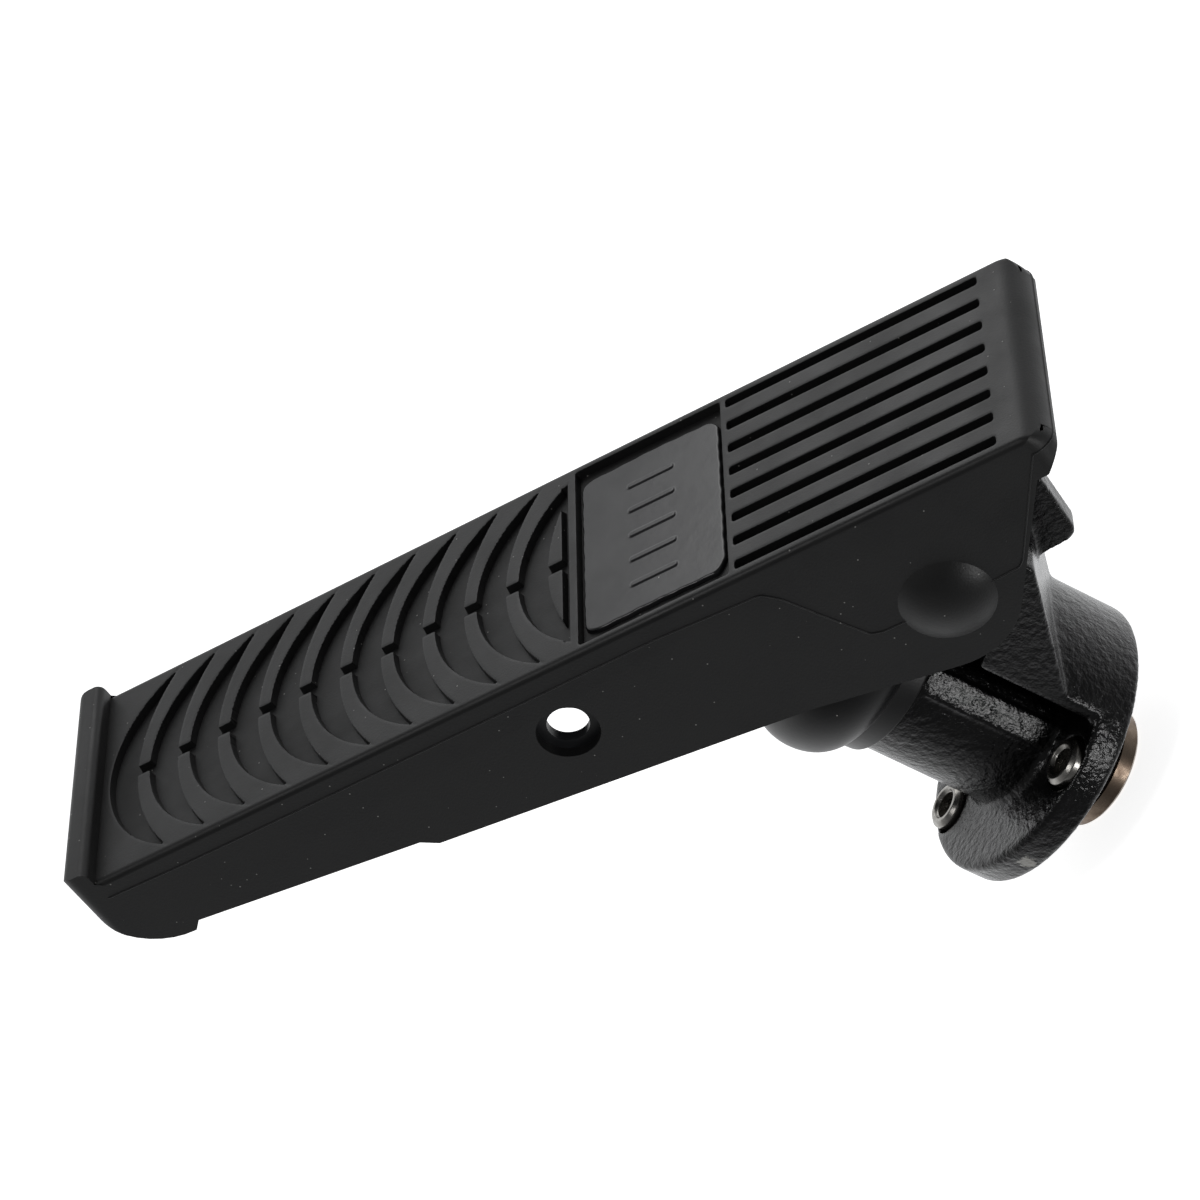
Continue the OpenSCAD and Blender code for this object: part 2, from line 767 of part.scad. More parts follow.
module bracket_bolts() {
  color("#9da0a4") in_pedal() for (x = [-bolt_span / 2, bolt_span / 2])
    translate([roller_x + x, 0, 0]) {
      translate([0, 0, frame_under - foot_t - 9]) cylinder(r = bolt_d / 2, h = 9 + foot_t + frame_t);
      translate([0, 0, frame_top - 0.6]) cylinder(r = bolt_d / 2, h = 0.6);
    }
}

module bracket_nuts() {
  color("#9da0a4") in_pedal() for (x = [-bolt_span / 2, bolt_span / 2])
    translate([roller_x + x, 0, frame_under - foot_t - 5]) difference() {
      cylinder(d = 11.2, h = 5, $fn = 6);
      translate([0, 0, -over]) cylinder(r = bolt_d / 2, h = 5 + 2 * over);
    }
}

module roller_pin() {
  color("#b4b7ba") in_pedal()
    along_y(roller_pin_d / 2, -cheek_in - cheek_t - 2.4, cheek_in + cheek_t + 2.4, [roller_x, roller_z]);
}

module roller_pin_clips() {
  color("#3a3d40") in_pedal() both_sides() difference() {
    along_y(roller_pin_d / 2 + 2.4, cheek_in + cheek_t, cheek_in + cheek_t + 1, [roller_x, roller_z]);
    along_y(roller_pin_d / 2, 0, half_w, [roller_x, roller_z]);
  }
}

module roller() {
  color("#a9adb1") in_pedal() difference() {
    along_y(roller_r, -roller_w / 2, roller_w / 2, [roller_x, roller_z]);
    along_y(roller_pin_d / 2 + 0.05, -roller_w, roller_w, [roller_x, roller_z]);
  }
}

// Rubber buffer that meets the stop lug when the pedal is released
module rest_bumper() {
  color("#1b1b1c") in_pedal() translate([bumper_x, 0, frame_under - bumper_h]) difference() {
    cylinder(r = bumper_r, h = bumper_h);
    translate([0, 0, 3]) cylinder(r = bumper_screw_d / 2, h = bumper_h);
  }
}

module bumper_screw() {
  color("#9da0a4") in_pedal() translate([bumper_x, 0, 0]) {
    translate([0, 0, frame_under - bumper_h + 3])
      cylinder(r = bumper_screw_d / 2, h = bumper_h - 3 + frame_t - 1.6 + eps);
    translate([0, 0, frame_top - 1.6]) cylinder(r = bumper_screw_d - slip, h = 1.4);
  }
}

cast_bracket();
guide_sleeve();
sleeve_seal();
lower_spring_seat();
seat_circlip();
rod_wiper();
return_spring();
rubber_boot();
flange_screws();
pivot_bushes();
pedal_frame();
rubber_cover();
badge_plate();
pivot_pin();
pin_circlips();
pivot_spacers();
roller_bracket();
bracket_bolts();
bracket_nuts();
roller_pin();
roller_pin_clips();
rest_bumper();
bumper_screw();
roller();
plunger_rod();
wear_button();
spring_collar();
collar_circlip();
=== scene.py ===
"""Treadle foot pedal: a rubber-covered pedal hinged on a cast bracket above a booted plunger.

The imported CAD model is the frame. Each sub-assembly below is a class that makes its visible
surfaces as parametric grids, and dresses the CAD nodes that stay.
"""

import json
import logging
import math
from dataclasses import dataclass, field, replace
from enum import Enum
from typing import Any, Optional, Sequence

import bmesh
import bpy
import numpy as np
from mathutils import Matrix, Vector

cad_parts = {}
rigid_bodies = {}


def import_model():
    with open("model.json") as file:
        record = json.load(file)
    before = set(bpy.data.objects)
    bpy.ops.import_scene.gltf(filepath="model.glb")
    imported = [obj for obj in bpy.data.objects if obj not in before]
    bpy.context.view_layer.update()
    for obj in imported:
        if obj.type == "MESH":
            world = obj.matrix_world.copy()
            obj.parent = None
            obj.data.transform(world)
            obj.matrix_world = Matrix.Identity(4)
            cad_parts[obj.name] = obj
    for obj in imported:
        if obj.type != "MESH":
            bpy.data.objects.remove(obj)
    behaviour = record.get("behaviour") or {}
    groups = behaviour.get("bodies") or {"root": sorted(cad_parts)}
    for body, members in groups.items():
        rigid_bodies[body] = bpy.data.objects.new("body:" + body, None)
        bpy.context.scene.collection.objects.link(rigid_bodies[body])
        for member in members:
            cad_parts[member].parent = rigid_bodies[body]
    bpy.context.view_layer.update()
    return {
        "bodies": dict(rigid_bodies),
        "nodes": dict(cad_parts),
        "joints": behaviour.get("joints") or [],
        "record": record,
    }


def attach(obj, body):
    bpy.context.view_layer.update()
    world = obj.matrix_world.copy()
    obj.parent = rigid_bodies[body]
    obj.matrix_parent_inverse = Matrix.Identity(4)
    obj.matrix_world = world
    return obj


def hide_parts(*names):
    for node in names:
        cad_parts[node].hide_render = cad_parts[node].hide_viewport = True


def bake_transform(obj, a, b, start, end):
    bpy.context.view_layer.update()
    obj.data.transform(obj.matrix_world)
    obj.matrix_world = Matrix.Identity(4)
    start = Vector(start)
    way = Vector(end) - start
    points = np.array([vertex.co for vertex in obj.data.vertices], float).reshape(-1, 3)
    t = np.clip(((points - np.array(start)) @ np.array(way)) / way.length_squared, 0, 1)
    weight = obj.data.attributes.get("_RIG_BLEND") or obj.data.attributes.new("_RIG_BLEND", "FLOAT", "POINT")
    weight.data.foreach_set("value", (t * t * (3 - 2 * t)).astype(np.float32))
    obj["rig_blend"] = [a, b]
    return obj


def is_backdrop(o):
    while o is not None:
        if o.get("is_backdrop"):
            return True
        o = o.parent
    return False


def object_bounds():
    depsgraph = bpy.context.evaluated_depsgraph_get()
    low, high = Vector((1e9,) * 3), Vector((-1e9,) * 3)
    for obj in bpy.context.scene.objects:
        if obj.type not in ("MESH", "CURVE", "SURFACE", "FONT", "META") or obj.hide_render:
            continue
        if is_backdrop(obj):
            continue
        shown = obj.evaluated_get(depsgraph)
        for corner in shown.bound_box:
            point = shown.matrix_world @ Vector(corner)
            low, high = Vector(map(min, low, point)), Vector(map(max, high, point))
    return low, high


log = logging.getLogger("treadle_pedal")

MM = 0.001
PIVOT = np.array([-55.5, 0.0, 78.0])
TILT = math.radians(25.6)
MERGE_GAP = 2e-6  # metres
WALL = 0.42  # width in plan of a tread recess's slanted wall, mm
HEEL_END = -49.6  # x' of the cover's heel, mm
TREAD_TOP = 37.5  # z' of the tread, mm
HEEL_ROLL = 8.0  # radius of the heel's rounded top edge, mm


class Body(str, Enum):
    """The bodies of the mechanism."""

    BRACKET = "bracket"
    PEDAL = "pedal"
    PLUNGER = "plunger"
    ROLLER = "roller"


# ---- Frames and grids ----


def on_pedal(points: np.ndarray) -> np.ndarray:
    """Turns pedal coordinates into the row frame, both in mm.

    x = Px + x' cos t - z' sin t, z = Pz + x' sin t + z' cos t, with t the pedal's rest tilt.

    Args:
        points: array (..., 3), x' along the tread to the toe and z' square to it.

    Returns:
        Array of the same shape.
    """
    c, s = math.cos(TILT), math.sin(TILT)
    x, y, z = points[..., 0], points[..., 1], points[..., 2]
    return np.stack([PIVOT[0] + x * c - z * s, y, PIVOT[2] + x * s + z * c], axis=-1)


def smooth_step(t: np.ndarray) -> np.ndarray:
    """Eases t from 0 to 1 as t^2 (3 - 2 t), held at both ends."""
    t = np.clip(t, 0.0, 1.0)
    return t * t * (3.0 - 2.0 * t)


def box_distance(x: np.ndarray, y: np.ndarray, centre: tuple[float, float],
                 half: tuple[float, float], radius: float) -> np.ndarray:
    """Distance inside a rounded rectangle, in mm: positive inside, negative outside.

    With q = |p - centre| - (half - radius): radius - |max(q, 0)| - min(max(qx, qy), 0).
    """
    qx = np.abs(x - centre[0]) - (half[0] - radius)
    qy = np.abs(y - centre[1]) - (half[1] - radius)
    outside = np.hypot(np.maximum(qx, 0), np.maximum(qy, 0))
    return radius - outside - np.minimum(np.maximum(qx, qy), 0)


def grid_faces(rows: int, cols: int, wrap: bool, flip: bool) -> np.ndarray:
    """Quads of a rows x cols grid of vertices.

    Args:
        rows: vertices down the first parameter.
        cols: vertices along the second.
        wrap: True joins the last column to the first.
        flip: True turns every face over.

    Returns:
        Integer array (faces, 4).
    """
    i = np.arange(rows - 1)[:, None]
    j = np.arange(cols if wrap else cols - 1)[None, :]
    jn = (j + 1) % cols
    quads = np.stack([i * cols + j, i * cols + jn, (i + 1) * cols + jn, (i + 1) * cols + j], -1)
    quads = quads.reshape(-1, 4)
    return quads[:, ::-1] if flip else quads


def make_object(name: str, sheets: Sequence[tuple[np.ndarray, bool, bool]],
                sharp: float = 180.0) -> bpy.types.Object:
    """Puts one or more grids, given in row-frame mm, into one mesh object.

    Args:
        name: object name.
        sheets: (points (n, m, 3), wrap, flip) of each grid.
        sharp: edges that turn by more than this many degrees stay crisp.

    Returns:
        The object, linked to the scene, with coincident vertices merged.
    """
    verts: list[np.ndarray] = []
    faces: list[np.ndarray] = []
    start = 0
    for points, wrap, flip in sheets:
        rows, cols = points.shape[:2]
        verts.append(points.reshape(-1, 3))
        faces.append(grid_faces(rows, cols, wrap, flip) + start)
        start += rows * cols
    mesh = bpy.data.meshes.new(name)
    mesh.from_pydata((np.concatenate(verts) * MM).tolist(), [], np.concatenate(faces).tolist())
    clean(mesh)
    smooth(mesh, sharp)
    obj = bpy.data.objects.new(name, mesh)
    bpy.context.scene.collection.objects.link(obj)
    return obj


def clean(mesh: bpy.types.Mesh) -> None:
    """Merges vertices closer than MERGE_GAP and drops the faces that collapse."""
    bm = bmesh.new()
    bm.from_mesh(mesh)
    bmesh.ops.remove_doubles(bm, verts=bm.verts, dist=MERGE_GAP)
    bmesh.ops.dissolve_degenerate(bm, edges=bm.edges, dist=MERGE_GAP / 2)
    bm.to_mesh(mesh)
    bm.free()


def smooth(mesh: bpy.types.Mesh, sharp: float) -> None:
    """Shades a mesh smooth, with edges that turn more than sharp degrees kept crisp."""
    mesh.polygons.foreach_set("use_smooth", np.ones(len(mesh.polygons), dtype=bool))
    if sharp < 180:
        mesh.set_sharp_from_angle(angle=math.radians(sharp))
    mesh.update()


def lathe(profile: np.ndarray, axis_at: tuple[float, float], steps: int,
          swell: Optional[np.ndarray] = None) -> np.ndarray:
    """Carries a profile round a vertical axis.

    x = cx + r(s) w cos a, y = cy + r(s) w sin a, z = z(s), for each profile point s and angle a,
    where w is 1 or the swell given for that point and angle.

    Args:
        profile: (n, 2) of radius and height in mm.
        axis_at: x and y of the axis in mm.
        steps: number of angles.
        swell: (n, steps) factors on the radius.

    Returns:
        Points (n, steps, 3).
    """
    a = np.linspace(0, 2 * np.pi, steps, endpoint=False)
    r = profile[:, :1] * (np.ones((len(profile), steps)) if swell is None else swell)
    z = np.broadcast_to(profile[:, 1:], r.shape)
    return np.stack([axis_at[0] + r * np.cos(a), axis_at[1] + r * np.sin(a), z], axis=-1)


def rounded_profile(corners: Sequence[tuple[float, float, float]], steps: int = 6) -> np.ndarray:
    """Rounds the corners of an open profile.

    Each corner with radius R becomes the quadratic curve (1-t)^2 A + 2 t (1-t) C + t^2 B, where A
    and B lie R tan(turn / 2) before and after the corner C.

    Args:
        corners: (radius from the axis, height, rounding) in mm.
        steps: points on each rounded corner.

    Returns:
        (n, 2) points.
    """
    pts = np.array([c[:2] for c in corners], dtype=float)
    out: list[np.ndarray] = [pts[:1]]
    for k in range(1, len(pts) - 1):
        before, here, after = pts[k - 1], pts[k], pts[k + 1]
        u, v = before - here, after - here
        lu, lv = float(np.linalg.norm(u)), float(np.linalg.norm(v))
        turn = math.pi - math.acos(float(np.clip(u @ v / (lu * lv), -1, 1)))
        reach = min(corners[k][2] * math.tan(turn / 2), 0.48 * lu, 0.48 * lv)
        if reach < 1e-3:
            out.append(pts[k:k + 1])
            continue
        a, b = here + u / lu * reach, here + v / lv * reach
        t = np.linspace(0, 1, steps)[:, None]
        out.append((1 - t) ** 2 * a + 2 * t * (1 - t) * here + t ** 2 * b)
    out.append(pts[-1:])
    return np.concatenate(out)


def tube(path: np.ndarray, radius: float, sides: int) -> np.ndarray:
    """Carries a circle along a path: p(s) + radius (n(s) cos a + b(s) sin a).

    n and b are square to the path's own direction, with n kept as near as it goes to +Y.

    Args:
        path: (n, 3) points in mm.
        radius: the circle's radius in mm.
        sides: points round the circle.

    Returns:
        Points (n, sides, 3), the first and last rings shrunk to points.
    """
    ahead = np.gradient(path, axis=0)
    ahead = ahead / np.linalg.norm(ahead, axis=1, keepdims=True)
    up = np.where(np.abs(ahead[:, 1:2]) > 0.9, np.array([[0, 0, 1.0]]), np.array([[0, 1.0, 0]]))
    b = np.cross(ahead, up)
    b /= np.linalg.norm(b, axis=1, keepdims=True)
    n = np.cross(b, ahead)
    a = np.linspace(0, 2 * np.pi, sides, endpoint=False)
    size = np.full((len(path), 1, 1), radius)
    size[0] = size[-1] = 1e-4
    ring = n[:, None, :] * np.cos(a)[None, :, None] + b[:, None, :] * np.sin(a)[None, :, None]
    return path[:, None, :] + size * ring


def merged_copy(node: str, name: str) -> bpy.types.Object:
    """Copies a CAD node's mesh into a new object with its loose triangles merged.

    Args:
        node: CAD node name.
        name: name of the new object.

    Returns:
        The new object, at the origin.
    """
    mesh = frame_nodes()[node].data.copy()
    mesh.name = name
    mesh.materials.clear()
    if mesh.has_custom_normals:
        for attribute in [a for a in mesh.attributes if a.name == "custom_normal"]:
            mesh.attributes.remove(attribute)
    clean(mesh)
    obj = bpy.data.objects.new(name, mesh)
    bpy.context.scene.collection.objects.link(obj)
    return obj


_FRAME: dict[str, Any] = {}


def frame_nodes() -> dict[str, bpy.types.Object]:
    """The CAD nodes by name."""
    return _FRAME["nodes"]


# ---- Finishes ----


def linear(code: str) -> tuple[float, float, float, float]:
    """Turns an sRGB hex colour into linear light.

    Args:
        code: "#rrggbb".

    Returns:
        Linear red, green and blue, and 1 for alpha.
    """
    parts = [int(code[k:k + 2], 16) / 255 for k in (1, 3, 5)]
    lin = [p / 12.92 if p <= 0.04045 else ((p + 0.055) / 1.055) ** 2.4 for p in parts]
    return lin[0], lin[1], lin[2], 1.0


def per_mm(size: float) -> float:
    """Texture scale that gives a feature of this size in mm on Object coordinates in metres."""
    return 1.0 / (size * MM)


def add_node(tree: bpy.types.NodeTree, kind: str, inputs: Optional[dict[Any, Any]] = None,
             **settings: Any) -> bpy.types.Node:
    """Adds a node, sets its properties, and fills or links its inputs.

    Args:
        tree: node tree.
        kind: node type.
        inputs: socket name or number -> value, or the socket that feeds it.
        settings: node properties.

    Returns:
        The node.
    """
    node = tree.nodes.new(kind)
    for key, value in settings.items():
        setattr(node, key, value)
    for key, value in (inputs or {}).items():
        socket = node.inputs[key]
        if isinstance(value, bpy.types.NodeSocket):
            tree.links.new(value, socket)
        else:
            socket.default_value = value
    return node


@dataclass(frozen=True)
class Finish:
    """One material: a base, a tone that varies over it, a grain in its bump, and dust.

    Sizes are in mm. dust is how much of the surface's cells carry a speck.
    """

    name: str
    slot: str
    base: str
    other: str
    roughness: float
    metallic: float = 0.0
    specular: float = 0.5
    mottle: float = 18.0
    grain: float = 0.6
    grain_depth: float = 0.02
    stretch: tuple[float, float, float] = (1.0, 1.0, 1.0)
    rough_swing: float = 0.06
    dust: float = 0.0
    dust_cell: float = 5.0
    dust_size: float = 0.06
    dust_hex: str = "#c9c7c2"
    dimple: float = 0.0
    dimple_depth: float = 0.0
    wear: tuple[float, float, float, float] = (0, 0, 0, 0)
    wear_hex: str = "#b5b3ad"
    # Point attribute from 0 to 1 that darkens the colour towards the next hex by up to 0.45 and raises
    # roughness by up to 0.12: painted shade in the recesses, with some dirt.
    hollow: str = ""
    recess_shade_and_dirt_hex: str = "#0b0b0b"

    def build(self) -> bpy.types.Material:
        """Makes the node tree once, and returns the material."""
        known = bpy.data.materials.get(self.name)
        if known is not None:
            return known
        mat = bpy.data.materials.new(self.name)
        mat.use_nodes = True
        tree = mat.node_tree
        tree.nodes.clear()
        place = add_node(tree, "ShaderNodeTexCoord").outputs["Object"]
        mapped = add_node(tree, "ShaderNodeMapping", {"Vector": place, "Scale": self.stretch})
        cloud = add_node(tree, "ShaderNodeTexNoise", {
            "Vector": place, "Scale": per_mm(self.mottle), "Detail": 5.0, "Roughness": 0.62})
        swing = add_node(tree, "ShaderNodeMapRange", {
            "Value": cloud.outputs["Fac"], "From Min": 0.3, "From Max": 0.7,
            "To Min": 0.0, "To Max": 1.0})
        tone = add_node(tree, "ShaderNodeMix", {
            0: swing.outputs["Result"], 6: linear(self.base), 7: linear(self.other)},
            data_type="RGBA").outputs[2]
        rough = add_node(tree, "ShaderNodeMapRange", {
            "Value": cloud.outputs["Fac"], "From Min": 0.3, "From Max": 0.7,
            "To Min": max(0.02, self.roughness - self.rough_swing),
            "To Max": self.roughness + self.rough_swing}).outputs["Result"]
        fine = add_node(tree, "ShaderNodeTexNoise", {
            "Vector": mapped.outputs["Vector"], "Scale": per_mm(self.grain), "Detail": 3.0,
            "Roughness": 0.6})
        bump = add_node(tree, "ShaderNodeBump", {
            "Height": fine.outputs["Fac"], "Strength": 1.0,
            "Distance": self.grain_depth * MM}).outputs["Normal"]
        if self.dimple:
            pits = add_node(tree, "ShaderNodeTexNoise", {
                "Vector": place, "Scale": per_mm(self.dimple), "Detail": 2.0})
            bump = add_node(tree, "ShaderNodeBump", {
                "Height": pits.outputs["Fac"], "Strength": 1.0, "Normal": bump,
                "Distance": self.dimple_depth * MM}).outputs["Normal"]
        # Painted shade, with some dirt: the colour darkens towards the recess colour where the attribute
        # marks a recess floor, and roughness rises there.
        if self.hollow:
            deep = add_node(tree, "ShaderNodeAttribute", attribute_name=self.hollow)
            shade = add_node(tree, "ShaderNodeMath", {
                0: deep.outputs["Fac"], 1: 0.45}, operation="MULTIPLY").outputs[0]
            tone = add_node(tree, "ShaderNodeMix", {
                0: shade, 6: tone, 7: linear(self.recess_shade_and_dirt_hex)},
                data_type="RGBA").outputs[2]
            rough = add_node(tree, "ShaderNodeMath", {
                0: deep.outputs["Fac"], 1: 0.12, 2: rough}, operation="MULTIPLY_ADD").outputs[0]
        if self.dust:
            cells = add_node(tree, "ShaderNodeTexVoronoi", {
                "Vector": place, "Scale": per_mm(self.dust_cell)})
            near = add_node(tree, "ShaderNodeMapRange", {
                "Value": cells.outputs["Distance"], "From Min": self.dust_size,
                "From Max": self.dust_size * 0.5, "To Min": 0.0, "To Max": 1.0})
            pick = add_node(tree, "ShaderNodeSeparateColor", {"Color": cells.outputs["Color"]})
            chosen = add_node(tree, "ShaderNodeMath", {
                0: pick.outputs["Red"], 1: self.dust}, operation="LESS_THAN")
            speck = add_node(tree, "ShaderNodeMath", {
                0: near.outputs["Result"], 1: chosen.outputs["Value"]}, operation="MULTIPLY")
            tone = add_node(tree, "ShaderNodeMix", {
                0: speck.outputs["Value"], 6: tone, 7: linear(self.dust_hex)},
                data_type="RGBA").outputs[2]
        if self.wear[3]:
            away = add_node(tree, "ShaderNodeVectorMath", {
                0: place, 1: tuple(v * MM for v in self.wear[:3])}, operation="DISTANCE")
            edge = add_node(tree, "ShaderNodeMath", {
                0: fine.outputs["Fac"], 1: 4.0 * MM, 2: away.outputs["Value"]},
                operation="MULTIPLY_ADD")
            rubbed = add_node(tree, "ShaderNodeMapRange", {
                "Value": edge.outputs["Value"], "From Min": (self.wear[3] + 2.4) * MM,
                "From Max": (self.wear[3] + 1.6) * MM, "To Min": 0.0, "To Max": 0.85})
            tone = add_node(tree, "ShaderNodeMix", {
                0: rubbed.outputs["Result"], 6: tone, 7: linear(self.wear_hex)},
                data_type="RGBA").outputs[2]
        shader = add_node(tree, "ShaderNodeBsdfPrincipled", {
            "Base Color": tone, "Roughness": rough, "Normal": bump,
            "Metallic": self.metallic, "Specular IOR Level": self.specular})
        add_node(tree, "ShaderNodeOutputMaterial", {"Surface": shader.outputs["BSDF"]})
        return mat

    def dress(self, *objects: bpy.types.Object) -> None:
        """Gives the objects this material alone."""
        mat = self.build()
        for obj in objects:
            obj.data.materials.clear()
            obj.data.materials.append(mat)

    def dress_node(self, *names: str) -> None:
        """Puts this material on CAD nodes, through their objects' own slots."""
        mat = self.build()
        for name in names:
            node = frame_nodes()[name]
            if not node.material_slots:
                node.data.materials.append(mat)
            for held in node.material_slots:
                held.link = "OBJECT"
                held.material = mat
            log.info("CAD node %s keeps its shape in %s", name, self.name)


# Compression-moulded black EPDM rubber: charcoal, nearly matt, with a faint bloom and dust.
PEDAL_RUBBER = Finish("epdm_rubber_moulded_cover", "pedal_rubber", "#131314", "#1a1a1a", 0.45,
                      grain=0.7, grain_depth=0.05, rough_swing=0.07, specular=0.46,
                      dust=0.42, dust_cell=3.4, dust_size=0.085, dust_hex="#8e8d8a")
# The same rubber on the tread, whose recess floors are painted darker as shade, with some dirt, and are matt
# from the etched mould.
TREAD_RUBBER = replace(PEDAL_RUBBER, name="epdm_rubber_moulded_tread", hollow="recess")
# Injection-moulded nitrile bellows rubber: satin, a little glossier than the cover.
BOOT_RUBBER = Finish("nitrile_rubber_moulded_boot", "boot_rubber", "#0f0f10", "#151516", 0.36,
                     grain=1.1, grain_depth=0.03, rough_swing=0.05, dust=0.10, dust_cell=4.5,
                     dust_size=0.06)
# Small moulded rubber parts.
BLACK_RUBBER = Finish("nitrile_rubber_moulded", "black_rubber", "#1a1a1b", "#232324", 0.5,
                      grain=0.6, grain_depth=0.03)
# Sand-cast iron under glossy black enamel: the sand's dimples show through a wet-looking coat.
CAST_ENAMEL = Finish("sand_cast_iron_black_enamel", "gloss_black_casting", "#070708", "#0d0d0e",
                     0.20, specular=0.5, grain=1.1, grain_depth=0.20, rough_swing=0.05,
                     mottle=7.0, dimple=2.6, dimple_depth=0.45, dust=0.10, dust_cell=4.0,
                     dust_size=0.05, wear=(11.0, 41.0, 4.0, 2.4))
# Vacuum-coated plate under clear lacquer, smooth and glossy.
BADGE_GLOSS = Finish("lacquered_plate_pressed", "gloss_black_plate", "#1a1a1c", "#1f1f21", 0.2,
                     specular=0.6, grain=5.0, grain_depth=0.05, mottle=14.0, rough_swing=0.04,
                     dust=0.06, dust_cell=5.0, dust_size=0.05)
# Press-formed mild steel with a thin dark paint.
PAINTED_STEEL = Finish("mild_steel_pressed_dark_paint", "dark_painted_steel", "#1c1d1f",
                       "#242527", 0.42, grain=0.9, grain_depth=0.03)
# Turned and polished carbon steel.
BRIGHT_STEEL = Finish("carbon_steel_polished", "bright_steel", "#b0aeaa", "#85827d", 0.28,
                      metallic=1.0, grain=0.5, grain_depth=0.02, mottle=3.0, rough_swing=0.1)
# Turned steel left oiled: brown-grey with stains where the oil has dried.
OILED_STEEL = Finish("carbon_steel_turned_oiled", "oiled_brown_steel", "#9c8c7c", "#66564a",
                     0.30, metallic=1.0, grain=0.35, grain_depth=0.02, mottle=6.0,
                     stretch=(0.15, 0.15, 1.0), rough_swing=0.1)
# Zinc-plated and passivated steel.
ZINC_STEEL = Finish("steel_zinc_plated", "zinc_steel", "#a9abae", "#8d9096", 0.32, metallic=1.0,
                    grain=0.8, grain_depth=0.015, mottle=5.0)
# Cold-drawn spring steel, oil-dark.
SPRING_STEEL = Finish("spring_steel_drawn", "spring_steel", "#6f7072", "#57585b", 0.3,
                      metallic=1.0, grain=0.5, grain_depth=0.015, mottle=4.0)
# Pressed and sintered bronze, matt with fine pores.
SINTERED_BRONZE = Finish("bronze_sintered", "sintered_bronze", "#a37c48", "#7d5c33", 0.5,
                         metallic=1.0, grain=0.4, grain_depth=0.03, mottle=3.0)


# ---- Sub-assemblies ----


def heel_roll(points: np.ndarray) -> np.ndarray:
    """Rounds the cover's top heel edge by moving points, in pedal mm.

    With u and w the distances past the roll's centre over its radius, both from 0 to 1, the
    square corner becomes a round one: u' = u sqrt(1 - w^2 / 2), w' = w sqrt(1 - u^2 / 2).

    Args:
        points: (..., 3) in pedal coordinates.

    Returns:
        The moved points.
    """
    radius = HEEL_ROLL
    u = np.clip((HEEL_END + radius - points[..., 0]) / radius, 0, 1)
    w = np.clip((points[..., 2] - TREAD_TOP + radius) / radius, 0, 1)
    out = points.copy()
    out[..., 0] += radius * u * (1 - np.sqrt(1 - w * w / 2))
    out[..., 2] -= radius * w * (1 - np.sqrt(1 - u * u / 2))
    return out


def off_pedal(points: np.ndarray) -> np.ndarray:
    """Turns row-frame mm into pedal coordinates, the inverse of on_pedal."""
    c, s = math.cos(TILT), math.sin(TILT)
    x, z = points[..., 0] - PIVOT[0], points[..., 2] - PIVOT[2]
    return np.stack([x * c + z * s, points[..., 1], -x * s + z * c], axis=-1)


